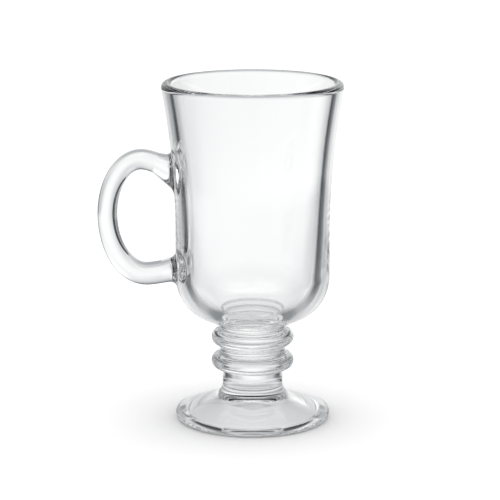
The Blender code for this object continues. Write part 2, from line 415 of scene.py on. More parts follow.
@dataclass(frozen=True)
class MouldMarks:
    """The marks that pressing and washing leave on glass: a ripple of the face and smears of its polish."""

    ripple_detail: float = 1.0
    ripple_roughness: float = 0.35
    smear_scale: float = 55.0
    smear_detail: float = 4.0
    smear_range: Point2 = (0.52, 0.75)
    pitch: float = 0.02
    clean_roughness: float = 0.0
    smear_roughness: float = 0.03

    def group(self) -> bpy.types.NodeTree:
        """Make the node group of these marks.

        Returns:
            A group with a ripple height and an uneven roughness, both in the object's own space.
        """
        made = bpy.data.node_groups.new("mould_ripple", "ShaderNodeTree")
        starts = {
            "Pitch": self.pitch,
            "Clean Roughness": self.clean_roughness,
            "Smear Roughness": self.smear_roughness,
        }
        for name, value in starts.items():
            socket = made.interface.new_socket(name=name, in_out="INPUT", socket_type="NodeSocketFloat")
            socket.default_value = value
        for name in ("Height", "Roughness"):
            made.interface.new_socket(name=name, in_out="OUTPUT", socket_type="NodeSocketFloat")
        bench = NodeBench(made)
        given = bench.node("NodeGroupInput", {}).outputs
        place = bench.node("ShaderNodeTexCoord", {}).outputs["Object"]
        ripple = bench.node("ShaderNodeTexNoise", {
            "Vector": place,
            "Scale": bench.maths("DIVIDE", 1.0, given["Pitch"]),
            "Detail": self.ripple_detail,
            "Roughness": self.ripple_roughness,
        })
        smear = bench.node("ShaderNodeTexNoise", {
            "Vector": place,
            "Scale": self.smear_scale,
            "Detail": self.smear_detail,
        })
        polish = bench.node("ShaderNodeMapRange", {
            "Value": smear.outputs["Fac"],
            "From Min": self.smear_range[0],
            "From Max": self.smear_range[1],
            "To Min": given["Clean Roughness"],
            "To Max": given["Smear Roughness"],
        })
        results = {"Height": ripple.outputs["Fac"], "Roughness": polish.outputs["Result"]}
        bench.node("NodeGroupOutput", results)
        return made


@dataclass(frozen=True)
class GlassFinish:
    """One piece's glass: how the mould has rippled it, its tint and how clean its surface is."""

    name: str
    ripple_pitch: float
    ripple_depth: float
    tint: tuple[float, float, float] = (0.987, 0.992, 0.993)
    clean_roughness: float = 0.0
    smear_roughness: float = 0.01
    ior: float = 1.5

    def material(self, ripple: bpy.types.NodeTree) -> bpy.types.Material:
        """Make the material.

        Args:
            ripple: The node group of mould ripples and smears.

        Returns:
            Clear glass with rippled normals and uneven polish.
        """
        made = bpy.data.materials.new(self.name)
        made.use_nodes = True
        nodes, links = made.node_tree.nodes, made.node_tree.links
        shader = nodes["Principled BSDF"]
        shader.inputs["Base Color"].default_value = (*self.tint, 1.0)
        shader.inputs["Metallic"].default_value = 0.0
        shader.inputs["IOR"].default_value = self.ior
        shader.inputs["Transmission Weight"].default_value = 1.0
        mould = nodes.new("ShaderNodeGroup")
        mould.node_tree = ripple
        mould.inputs["Pitch"].default_value = self.ripple_pitch
        mould.inputs["Clean Roughness"].default_value = self.clean_roughness
        mould.inputs["Smear Roughness"].default_value = self.smear_roughness
        bump = nodes.new("ShaderNodeBump")
        bump.inputs["Strength"].default_value = 1.0
        bump.inputs["Distance"].default_value = self.ripple_depth
        links.new(mould.outputs["Height"], bump.inputs["Height"])
        links.new(bump.outputs["Normal"], shader.inputs["Normal"])
        links.new(mould.outputs["Roughness"], shader.inputs["Roughness"])
        return made


class SeamFinish:
    """The fused seam between two pieces: the glass is continuous there, so nothing shows."""

    @staticmethod
    def material() -> bpy.types.Material:
        """Make the material.

        Returns:
            A material that lets everything through.
        """
        made = bpy.data.materials.new("fused_seam")
        made.use_nodes = True
        shader = made.node_tree.nodes["Principled BSDF"]
        shader.inputs["Base Color"].default_value = WHITE
        shader.inputs["Alpha"].default_value = 0.0
        return made


FINISHES = {
    "foot": GlassFinish("foot_glass_clear", ripple_pitch=0.012, ripple_depth=0.00002),
    "stem": GlassFinish("stem_glass_clear", ripple_pitch=0.010, ripple_depth=0.000001),
    "bowl": GlassFinish("bowl_glass_clear", ripple_pitch=0.030, ripple_depth=0.00008),
    "handle": GlassFinish("handle_glass_clear", ripple_pitch=0.020, ripple_depth=0.00003),
}


def half_width(node: str) -> float:
    """Outer radius of a turned CAD node."""
    low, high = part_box(node)
    return (high.y - low.y) / 2.0


def seam_height(lower: str, upper: str) -> float:
    """Height of the seam between two stacked CAD nodes, in the middle of their gap."""
    return (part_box(lower)[1].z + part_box(upper)[0].z) / 2.0


@dataclass(frozen=True)
class Cove:
    """A hollow round of an outline: its centre, as radius and height, and its radius."""

    centre: Point2
    radius: float


@dataclass
class Foot:
    """The conical foot with a full-round edge, swept up into the stem and domed underneath."""

    edge: float = 0.0050
    slope: float = math.radians(20.0)
    cove: float = 0.0055
    column_radius: float = COLUMN_RADIUS
    ring_inner: float = 0.0270
    ring_round: float = 0.0012
    dome_slope: float = math.radians(34.0)
    round_steps: int = 26
    cone_steps: int = 12
    ring_steps: int = 8
    dome_steps: int = 40
    radius: float = field(init=False)
    seam: float = field(init=False)

    def __post_init__(self) -> None:
        """Take the outer sizes from the frame."""
        self.radius = half_width("foot")
        self.seam = seam_height("foot", "stem")

    def outline(self) -> list[Point2]:
        """Draw the outline.

        Returns:
            Points from the seam under the stem to the centre of the underside.
        """
        up, down = math.pi / 2.0, -math.pi / 2.0
        edge_round = self.edge / 2.0
        rim = (self.radius - edge_round, edge_round)
        edge = arc(rim, edge_round, up - self.slope, down, self.round_steps)
        cone_start = self.column_radius + self.cove * (1.0 - math.sin(self.slope))
        cone_top = edge[0][1] + (edge[0][0] - cone_start) * math.tan(self.slope)
        cove = (self.column_radius + self.cove, cone_top + self.cove * math.cos(self.slope))
        sweep = arc(cove, self.cove, math.pi, 1.5 * math.pi - self.slope, self.round_steps)
        cone = line(sweep[-1], edge[0], self.cone_steps)
        ring = (self.ring_inner, self.ring_round)
        inner = arc(ring, self.ring_round, down, down - self.dome_slope, self.ring_steps)
        dome_radius = inner[-1][0] / math.sin(self.dome_slope)
        crown = (0.0, inner[-1][1] - dome_radius * math.cos(self.dome_slope))
        dome = arc(crown, dome_radius, up - self.dome_slope, up, self.dome_steps)
        return joined([(self.column_radius, self.seam)], sweep, cone, edge, inner, dome)

    def build(self) -> bpy.types.Object:
        """Build the foot.

        Returns:
            The foot, with a seam under the stem.
        """
        shell = Shell()
        rings = shell.turned(self.outline())
        shell.seam_disc(rings[0], self.seam, facing_up=True)
        return shell.piece("glass_foot")


@dataclass
class Stem:
    """The column and its two ring knops."""

    column_radius: float = COLUMN_RADIUS
    column_cove: float = 0.0012
    knop_rise: float = 0.0088
    knop_pitch: float = 0.01025
    knop_round: float = 0.0032
    knop_sweep: float = math.radians(72.0)
    neck_steps: int = 14
    upper_knop_steps: int = 34
    middle_steps: int = 24
    lower_knop_steps: int = 40
    cove_steps: int = 10
    column_steps: int = 6
    knop_radius: float = field(init=False)
    low_seam: float = field(init=False)
    high_seam: float = field(init=False)

    def __post_init__(self) -> None:
        """Take the outer sizes from the frame."""
        self.knop_radius = half_width("stem")
        self.low_seam = seam_height("foot", "stem")
        self.high_seam = seam_height("stem", "bowl")

    def knop(self, level: int) -> Point2:
        """Centre of a knop's bead, counted from the lower one."""
        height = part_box("stem")[0].z + self.knop_rise + level * self.knop_pitch
        return (self.knop_radius - self.knop_round, height)

    def neck(self, corner: Point2, corner_radius: float) -> Cove:
        """Fit the cove under the bowl, tangent to the upper knop and to the bowl's round corner.

        Args:
            corner: Centre of the bowl's corner.
            corner_radius: Radius of the bowl's corner.

        Returns:
            The cove.
        """
        way = Vector((math.cos(self.knop_sweep), math.sin(self.knop_sweep)))
        bead = Vector(self.knop(1))
        reach = bead + self.knop_round * way - Vector(corner)
        radius = (corner_radius ** 2 - reach.length_squared) / (2.0 * (reach.dot(way) - corner_radius))
        return Cove(tuple(bead + (self.knop_round + radius) * way), radius)

    def outline(self, neck: Cove) -> list[Point2]:
        """Draw the outline.

        Args:
            neck: The cove under the bowl.

        Returns:
            Points from the seam under the bowl to the seam on the foot.
        """
        lower, upper = self.knop(0), self.knop(1)
        sweep, half_pitch = self.knop_sweep, self.knop_pitch / 2.0
        middle_radius = half_pitch / math.sin(sweep) - self.knop_round
        middle = (lower[0] + (self.knop_round + middle_radius) * math.cos(sweep), lower[1] + half_pitch)
        cove_reach = self.column_radius + self.column_cove
        turn = math.acos((cove_reach - lower[0]) / (self.knop_round + self.column_cove))
        cove = (cove_reach, lower[1] - (self.knop_round + self.column_cove) * math.sin(turn))
        column = ((self.column_radius, cove[1]), (self.column_radius, self.low_seam))
        return joined(
            arc(neck.centre, neck.radius, math.pi, math.pi + sweep, self.neck_steps),
            arc(upper, self.knop_round, sweep, -sweep, self.upper_knop_steps),
            arc(middle, middle_radius, math.pi - sweep, math.pi + sweep, self.middle_steps),
            arc(lower, self.knop_round, sweep, -turn, self.lower_knop_steps),
            arc(cove, self.column_cove, math.pi - turn, math.pi, self.cove_steps),
            line(*column, self.column_steps),
        )

    def build(self, neck: Cove) -> bpy.types.Object:
        """Build the stem.

        Args:
            neck: The cove under the bowl.

        Returns:
            The stem, with a seam at each end.
        """
        shell = Shell()
        rings = shell.turned(self.outline(neck))
        shell.seam_disc(rings[0], self.high_seam, facing_up=True)
        shell.seam_disc(rings[-1], self.low_seam, facing_up=False)
        return shell.piece("glass_stem")


@dataclass
class Wall:
    """The bowl's outer wall: a round corner, an upright stretch to the waist and a flare to the lip.

    A place on the wall is also given unrolled, as the distance round from the handle, and the height.
    """

    rise: float = 0.0070
    corner_radius: float = 0.0191
    waist_radius: float = 0.03245
    waist_rise: float = 0.0400
    thickness: float = 0.00425
    rim_radius: float = field(init=False)
    rim_height: float = field(init=False)
    low: float = field(init=False)
    corner: Point2 = field(init=False)
    waist_height: float = field(init=False)
    lip_round: float = field(init=False)
    lip: Point2 = field(init=False)
    flare_radius: float = field(init=False)
    flare_turn: float = field(init=False)
    top: float = field(init=False)

    def __post_init__(self) -> None:
        """Take the outer sizes from the frame and work out the flare."""
        self.rim_radius = half_width("bowl")
        self.rim_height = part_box("bowl")[1].z
        self.low = Stem().knop(1)[1] + self.rise
        self.corner = (self.waist_radius - self.corner_radius, self.low + self.corner_radius)
        self.waist_height = self.low + self.waist_rise
        self.lip_round = self.thickness / 2.0
        self.lip = (self.rim_radius - self.lip_round, self.rim_height - self.lip_round)
        reach = math.dist(self.lip, (self.waist_radius, self.waist_height))
        spread = self.rim_radius - self.waist_radius
        self.flare_radius = (reach ** 2 - self.lip_round ** 2) / (2.0 * spread)
        self.flare_turn = bearing((self.waist_radius + self.flare_radius, self.waist_height), self.lip)
        self.top = self.lip[1] - self.lip_round * math.sin(self.flare_turn)

    def flare(self, z: float, depth: float) -> float:
        """Radius of the flare at a height, at a depth inside the outer face."""
        up = max(z - self.waist_height, 0.0)
        return self.waist_radius + self.flare_radius - math.sqrt((self.flare_radius + depth) ** 2 - up ** 2)

    def radius(self, z: float) -> float:
        """Measure the wall's outer radius.

        Args:
            z: A height between the corner and the lip.

        Returns:
            The radius there.
        """
        if z >= self.waist_height:
            return self.flare(z, 0.0)
        if z <= self.corner[1]:
            return self.corner[0] + math.sqrt(max(self.corner_radius ** 2 - (self.corner[1] - z) ** 2, 0.0))
        return self.waist_radius

    def place(self, flat: Point2) -> Vector:
        """Roll an unrolled place back on to the wall.

        Args:
            flat: The unrolled place.

        Returns:
            The point of the wall.
        """
        angle = HANDLE_ANGLE + flat[0] / self.waist_radius
        radius = self.radius(flat[1])
        return Vector((radius * math.cos(angle), radius * math.sin(angle), flat[1]))

    def unrolled(self, point: Vector) -> Point2:
        """Unrolled place of a point beside the wall."""
        return (-math.atan2(point.y, -point.x) * self.waist_radius, point.z)

    def normal(self, flat: Point2) -> Vector:
        """Find which way the wall faces.

        Args:
            flat: The unrolled place.

        Returns:
            The outward normal there.
        """
        above, below = self.radius(flat[1] + SLOPE_STEP), self.radius(flat[1] - SLOPE_STEP)
        slope = (above - below) / (2.0 * SLOPE_STEP)
        angle = HANDLE_ANGLE + flat[0] / self.waist_radius
        return Vector((math.cos(angle), math.sin(angle), -slope)).normalized()

    def hit(self, start: Vector, direction: Vector, reach: float) -> Vector:
        """Find where a line meets the wall.

        Args:
            start: A point outside the wall.
            direction: Unit direction towards it.
            reach: A distance by which the line is inside.

        Returns:
            The meeting point.
        """
        near, far = 0.0, reach
        for _ in range(HALVINGS):
            middle = (near + far) / 2.0
            point = start + middle * direction
            if math.hypot(point.x, point.y) > self.radius(point.z):
                near = middle
            else:
                far = middle
        return start + near * direction


@dataclass
class RootPatch:
    """The outer wall round the handle's roots, as one net of triangles with the roots' outlines in it."""

    points: list[Point2]
    grid: list[Cell | None]
    loops: list[Ring]
    open_faces: list[Corners]
    root_faces: list[list[Corners]]


@dataclass(frozen=True)
class Knot:
    """A knot of the handle's middle line: place, heading and half sizes of its section."""

    reach: float
    height: float
    heading: float
    half_thickness: float
    half_depth: float


@dataclass
class Handle:
    """The ear-shaped loop of oval section, whose roots spread on to the bowl's wall."""

    wall: Wall
    finger_gap: float = 0.0242
    thickness: float = 0.0083
    depth: float = 0.0115
    squareness: float = 2.4
    upper_root_rise: float = 0.0645
    upper_arm_rise: float = 0.0678
    top_rise: float = 0.0690
    side_rise: float = 0.0456
    foot_rise: float = 0.0202
    lower_arm_rise: float = 0.0210
    lower_root_rise: float = 0.0222
    upper_arm_reach: float = 0.0085
    top_reach: float = 0.0140
    foot_reach: float = 0.0122
    lower_arm_reach: float = 0.0055
    upper_root_spread: float = 1.62
    lower_root_spread: float = 1.22
    lower_arm_spread: float = 1.12
    root_depth_spread: float = 1.15
    root_reach: float = 0.03
    fillet: float = 0.0028
    fillet_share: float = 0.85
    stand_off: float = 0.0034
    section_steps: int = 72
    span_steps: int = 26
    arm_steps: int = 3
    fillet_steps: int = 14

    def knots(self) -> list[Knot]:
        """Lay out the middle line.

        Returns:
            Knots from the upper root round to the lower root.
        """
        low, waist = self.wall.low, self.wall.waist_radius
        climb = math.atan2(self.top_rise - self.upper_root_rise, self.top_reach)
        dip = math.atan2(self.foot_rise - self.lower_root_rise, self.foot_reach)
        upper, lower = low + self.upper_root_rise, low + self.lower_root_rise
        thick, deep = self.thickness / 2.0, self.depth / 2.0
        root_deep = deep * self.root_depth_spread
        side = waist + self.finger_gap + thick
        arm = thick * self.lower_arm_spread
        return [
            Knot(self.wall.radius(upper), upper, climb, thick * self.upper_root_spread, root_deep),
            Knot(waist + self.upper_arm_reach, low + self.upper_arm_rise, climb, thick, deep),
            Knot(waist + self.top_reach, low + self.top_rise, 0.0, thick, deep),
            Knot(side, low + self.side_rise, -math.pi / 2.0, thick, deep),
            Knot(waist + self.foot_reach, low + self.foot_rise, math.pi, arm, deep),
            Knot(waist + self.lower_arm_reach, low + self.lower_arm_rise, math.pi + dip, arm, deep),
            Knot(self.wall.radius(lower), lower, math.pi + dip, thick * self.lower_root_spread, root_deep),
        ]

    @staticmethod
    def lead(knot: Knot, other: Knot) -> float:
        """Measure a knot's Bezier lead: a quarter ellipse's on the loop, a third on the arms.

        Args:
            knot: The knot.
            other: The knot that the lead points to.

        Returns:
            The lead's length.
        """
        along = abs(math.cos(knot.heading) * (other.reach - knot.reach))
        along += abs(math.sin(knot.heading) * (other.height - knot.height))
        on_loop = any(abs(math.cos(k.heading)) < STEEP_COSINE for k in (knot, other))
        return along * (QUARTER_LEAD if on_loop else ARM_LEAD)

    def span(self, first: Knot, second: Knot, share: float) -> Section:
        """Draw one section of the handle between two knots.

        Args:
            first: The knot before.
            second: The knot after.
            share: How far along the span, from 0 to 1.

        Returns:
            The section's points, counted from the outer side of the loop.
        """
        a, d = (Vector((-knot.reach, 0.0, knot.height)) for knot in (first, second))
        ways = [Vector((-math.cos(k.heading), 0.0, math.sin(k.heading))) for k in (first, second)]
        b = a + ways[0] * self.lead(first, second)
        c = d - ways[1] * self.lead(second, first)
        t, u = share, 1.0 - share
        centre = u ** 3 * a + 3 * u * u * t * b + 3 * u * t * t * c + t ** 3 * d
        way = (u * u * (b - a) + 2 * u * t * (c - b) + t * t * (d - c)).normalized()
        outer = Vector((way.z, 0.0, -way.x))
        ease = t * t * (3.0 - 2.0 * t)
        thick = first.half_thickness + (second.half_thickness - first.half_thickness) * ease
        deep = first.half_depth + (second.half_depth - first.half_depth) * ease
        power = 2.0 / self.squareness
        ring = []
        for i in range(self.section_steps):
            angle = 2.0 * math.pi * i / self.section_steps
            out = math.copysign(abs(math.cos(angle)) ** power, math.cos(angle)) * thick
            across = math.copysign(abs(math.sin(angle)) ** power, math.sin(angle)) * deep
            ring.append(centre + outer * out + Vector((0.0, across, 0.0)))
        return ring

    def loop_rings(self) -> list[Section]:
        """Draw the loop.

        Returns:
            Sections from where the upper arm leaves the wall to where the lower arm meets it.
        """
        knots = self.knots()
        rings: list[Section] = []
        for first, second in zip(knots, knots[1:]):
            start = 1 if rings else 0
            shares = [k / self.span_steps for k in range(start, self.span_steps + 1)]
            rings += [self.span(first, second, share) for share in shares]
        return [ring for ring in rings if self.clearance(ring) > self.stand_off]

    def clearance(self, ring: Section) -> float:
        """Least distance of a section from the wall, measured outwards."""
        return min(math.hypot(p.x, p.y) - self.wall.radius(p.z) for p in ring)

    def root(self, ring: Section, before: Section) -> tuple[list[Section], list[Point2]]:
        """Spread an arm on to the wall.

        Args:
            ring: The arm's last section.
            before: The section before it.

        Returns:
            The sections of the spread root, from the arm to the wall, and the root's unrolled outline.
        """
        ways = [(p - q).normalized() for p, q in zip(ring, before)]
        hits = [self.wall.hit(p, way, self.root_reach) for p, way in zip(ring, ways)]
        flat = [self.wall.unrolled(p) for p in hits]
        count = len(flat)
        middle = (sum(p[0] for p in flat) / count, sum(p[1] for p in flat) / count)
        feet, bends, leaves = [], [], []
        for i in range(count):
            along = Vector(flat[(i + 1) % count]) - Vector(flat[i - 1])
            out = Vector((along.y, -along.x)).normalized()
            if out.dot(Vector(flat[i]) - Vector(middle)) < 0.0:
                out = -out
            room = (hits[i] - ring[i]).length
            radius = min(self.fillet, self.fillet_share * room)
            foot = (flat[i][0] + radius * out.x, flat[i][1] + radius * out.y)
            back = (foot[0] - SLOPE_STEP * out.x, foot[1] - SLOPE_STEP * out.y)
            run = (self.wall.place(foot) - self.wall.place(back)).normalized()
            feet.append(foot)
            bends.append(self.wall.place(foot) - radius * run)
            leaves.append(hits[i] - radius * ways[i])
        rings = []
        for k in range(1, self.arm_steps + 1):
            rings.append([p.lerp(q, k / self.arm_steps) for p, q in zip(ring, leaves)])
        for k in range(1, self.fillet_steps + 1):
            t = k / self.fillet_steps
            u = 1.0 - t
            rings.append([
                u * u * p + 2.0 * u * t * q + t * t * self.wall.place(f)
                for p, q, f in zip(leaves, bends, feet)
            ])
        return rings, feet

    def sections(self) -> tuple[list[Section], list[list[Point2]]]:
        """Draw the whole handle.

        Returns:
            All sections from root to root, and both roots' unrolled outlines.
        """
        loop = self.loop_rings()
        upper, upper_foot = self.root(loop[0], loop[1])
        lower, lower_foot = self.root(loop[-1], loop[-2])
        return list(reversed(upper)) + loop + lower, [upper_foot, lower_foot]

    def build(self, sections: Sequence[Section], patch: RootPatch) -> bpy.types.Object:
        """Build the handle.

        Args:
            sections: Sections from root to root.
            patch: The net of the wall, which closes the two roots.

        Returns:
            The handle, closed by a seam at each root.
        """
        shell = Shell()
        rings = [[shell.point(p) for p in section] for section in sections]
        for first, second in zip(rings, rings[1:]):
            shell.band(second, first)
        for ring, loop, faces in zip((rings[0], rings[-1]), patch.loops, patch.root_faces):
            numbers = dict(zip(loop, ring))
            for number, flat_number in zip(ring, loop):
                shell.normals[number] = self.wall.normal(patch.points[flat_number])
            for face in faces:
                corners = []
                for corner in face:
                    if corner not in numbers:
                        numbers[corner] = shell.point(self.wall.place(patch.points[corner]))
                    corners.append(numbers[corner])
                shell.face(tuple(reversed(corners)), Skin.SEAM)
        return shell.piece("glass_handle")


@dataclass
class Bowl:
    """The flared vessel: its cavity, lip, outer wall and the neck that sits on the stem."""

    wall: Wall
    base_wall: float = 0.0059
    thin_rise: float = 0.0450
    floor_wall: float = 0.0042
    inner_corner: float = 0.0160
    row_pitch: float = 0.00105
    window_columns: int = 15
    window_turn: float = math.radians(40.0)
    window_low: float = 0.0085
    window_high: float = 0.0800
    root_clearance: float = 0.55
    floor_steps: int = 10
    inner_corner_steps: int = 40
    side_steps: int = 80
    lip_steps: int = 48
    corner_steps: int = 36
    throat_steps: int = 14

    def inner_side(self) -> list[Point2]:
        """Draw the cavity, whose corner leans out at the slope at which the wall thins.

        Returns:
            Points from the centre of its floor outwards and up to the lip.
        """
        wall = self.wall
        extra = self.base_wall - wall.thickness
        lean = math.atan(2.0 * extra / self.thin_rise)
        floor = wall.low + self.floor_wall
        reach = wall.waist_radius - self.base_wall - self.inner_corner * math.cos(lean)
        inner = (reach, floor + self.inner_corner)
        low = inner[1] - self.inner_corner * math.sin(lean)
        high = wall.lip[1] + wall.lip_round * math.sin(wall.flare_turn)
        side = []
        for step in range(self.side_steps + 1):
            z = low + (high - low) * step / self.side_steps
            left = max(1.0 - (z - low) / self.thin_rise, 0.0)
            side.append((wall.flare(z, wall.thickness + extra * left ** 2), z))
        flat = line((0.0, floor), (reach, floor), self.floor_steps)
        corner = arc(inner, self.inner_corner, -math.pi / 2.0, -lean, self.inner_corner_steps)
        return joined(flat, corner, side)

    def lip(self) -> list[Point2]:
        """Outline of the lip, a full round from the inside of the wall to the outside."""
        wall = self.wall
        return arc(wall.lip, wall.lip_round, wall.flare_turn, wall.flare_turn - math.pi, self.lip_steps)

    def wall_rows(self) -> list[float]:
        """Space out the rows of the outer wall.

        Returns:
            Their heights, from the lip down to the corner's lower part.
        """
        wall = self.wall
        upright = int((wall.top - wall.corner[1]) / self.row_pitch)
        rows = [wall.top + (wall.corner[1] - wall.top) * k / upright for k in range(upright + 1)]
        bend = int(self.window_turn * wall.corner_radius / self.row_pitch)
        turn = self.window_turn / bend
        return rows + [wall.corner[1] - wall.corner_radius * math.sin(turn * k) for k in range(1, bend + 1)]

    def window(self, rows: Sequence[float]) -> tuple[range, range]:
        """Choose the part of the outer wall that is netted round the handle's roots.

        Args:
            rows: Heights of the outer wall's rows.

        Returns:
            The rows and the columns of the window.
        """
        low, high = self.wall.low + self.window_low, self.wall.low + self.window_high
        inside = [k for k, z in enumerate(rows) if low < z < high]
        middle = TURN_SEGMENTS // 2
        columns = range(middle - self.window_columns, middle + self.window_columns)
        return range(inside[0], inside[-1]), columns

    def net(self, rows: Sequence[float], roots: Sequence[Sequence[Point2]]) -> RootPatch:
        """Net the window round the roots' outlines.

        Args:
            rows: Heights of the outer wall's rows.
            roots: Unrolled outlines of the roots.

        Returns:
            The net, split into open wall and the faces under each root.
        """
        row_span, column_span = self.window(rows)
        first_row, last_row = row_span[0], row_span[-1] + 1
        first_column, last_column = column_span[0], column_span[-1] + 1
        turn = 2.0 * math.pi / TURN_SEGMENTS * self.wall.waist_radius
        points: list[Point2] = []
        grid: list[Cell | None] = []
        number: dict[Cell, int] = {}
        for row in range(first_row, last_row + 1):
            for column in range(first_column, last_column + 1):
                place = ((column - TURN_SEGMENTS // 2) * turn, rows[row])
                near = min(math.dist(place, p) for root in roots for p in root)
                if near > self.root_clearance * self.row_pitch:
                    number[(row, column)] = len(points)
                    points.append(place)
                    grid.append((row, column))
        border = [(first_row, c) for c in range(first_column, last_column)]
        border += [(r, last_column) for r in range(first_row, last_row)]
        border += [(last_row, c) for c in range(last_column, first_column, -1)]
        border += [(r, first_column) for r in range(last_row, first_row, -1)]
        edges = [(number[a], number[b]) for a, b in zip(border, border[1:] + border[:1])]
        loops: list[Ring] = []
        for root in roots:
            loop = list(range(len(points), len(points) + len(root)))
            points += root
            grid += [None] * len(root)
            edges += list(zip(loop, loop[1:] + loop[:1]))
            loops.append(loop)
        scaled = [Vector(p) * NET_SCALE for p in points]
        _, _, faces, origin, _, _ = delaunay_2d_cdt(scaled, edges, [], 0, NET_EPS)
        open_faces: list[Corners] = []
        root_faces: list[list[Corners]] = [[] for _ in roots]
        for face in faces:
            corners = tuple(origin[corner][0] for corner in face)
            middle = tuple(sum(points[c][axis] for c in corners) / 3.0 for axis in (0, 1))
            for root, held in zip(roots, root_faces):
                if inside_outline(middle, root):
                    held.append(corners)
                    break
            else:
                open_faces.append(corners)
        return RootPatch(points, grid, loops, open_faces, root_faces)

    def build(self, rows: Sequence[float], patch: RootPatch, neck: Cove) -> bpy.types.Object:
        """Build the bowl.

        Args:
            rows: Heights of the outer wall's rows.
            patch: The net of the wall round the handle's roots.
            neck: The cove under the bowl.

        Returns:
            The bowl, with seams on the stem and under the handle's roots.
        """
        wall = self.wall
        shell = Shell()
        upper = shell.turned(joined(self.inner_side(), self.lip()))
        row_span, column_span = self.window(rows)
        rings = [upper[-1]] + [shell.ring(wall.radius(z), z) for z in rows[1:]]
        for index, (first, second) in enumerate(zip(rings, rings[1:])):
            shell.band(first, second, skip=column_span if index in row_span else range(0))
        numbers: Ring = []
        for place, cell in zip(patch.points, patch.grid):
            if cell is not None:
                numbers.append(rings[cell[0]][cell[1]])
            else:
                numbers.append(shell.point(wall.place(place)))
                shell.normals[numbers[-1]] = wall.normal(place)
        for face in patch.open_faces:
            shell.face([numbers[c] for c in face])
        for faces in patch.root_faces:
            for face in faces:
                shell.face([numbers[c] for c in face], Skin.SEAM)
        corner_end = bearing(wall.corner, neck.centre)
        corner = arc(wall.corner, wall.corner_radius, -self.window_turn, corner_end, self.corner_steps)
        throat_start = bearing(neck.centre, wall.corner)
        throat = arc(neck.centre, neck.radius, throat_start, math.pi, self.throat_steps)
        low = [rings[-1]] + [shell.ring(*p) for p in joined(corner[1:], throat[1:])]
        for first, second in zip(low, low[1:]):
            shell.band(first, second)
        shell.seam_disc(low[-1], neck.centre[1], facing_up=False)
        return shell.piece("glass_bowl")


def stage_material(name: str) -> tuple[bpy.types.Material, NodeBench]:
    """Start a material of the stage.

    Args:
        name: Name of the material.

    Returns:
        The material, and the bench for its nodes.
    """
    made = bpy.data.materials.new(name)
    made.use_nodes = True
    return made, NodeBench(made.node_tree)


def stage_piece(mesh: bpy.types.Mesh, material: bpy.types.Material, glass_only: bool = False) -> None:
    """Put a mesh on the stage.

    Args:
        mesh: The mesh, whose name the piece takes.
        material: Its material.
        glass_only: Whether it shows in mirrors and glass alone.
    """
    mesh.materials.append(material)
    made = bpy.data.objects.new(mesh.name, mesh)
    bpy.context.scene.collection.objects.link(made)
    if glass_only:
        made.visible_camera = False
        made.visible_diffuse = False
        made.visible_shadow = False


def flat_mesh(name: str, corners: Sequence[Sequence[float]]) -> bpy.types.Mesh:
    """Make a mesh of one flat face.

    Args:
        name: Name of the mesh.
        corners: The face's corners in order.

    Returns:
        The mesh.
    """
    mesh = bpy.data.meshes.new(name)
    mesh.from_pydata([tuple(c) for c in corners], [], [tuple(range(len(corners)))])
    return mesh


@dataclass
class View:
    """The camera at the photograph's angle. Its lens is given by the size of the picture in pixels."""

    distance: float = 0.967
    height: float = 0.288
    pitch: float = math.radians(12.56)
    focal_pixels: float = 2357.0
    frame_pixels: float = 500.0
    axis_pixels: float = 2.6
    sensor_width: float = 36.0
    clip_start: float = 0.05

    def build(self) -> None:
        """Set up the camera."""
        data = bpy.data.cameras.new("camera")
        data.sensor_width = self.sensor_width
        data.lens = self.focal_pixels / self.frame_pixels * self.sensor_width
        data.shift_x = -self.axis_pixels / self.frame_pixels
        data.clip_start = self.clip_start
        made = bpy.data.objects.new("camera", data)
        made.location = (0.0, -self.distance, self.height)
        made.rotation_euler = (math.pi / 2.0 - self.pitch, 0.0, 0.0)
        bpy.context.scene.collection.objects.link(made)
        bpy.context.scene.camera = made


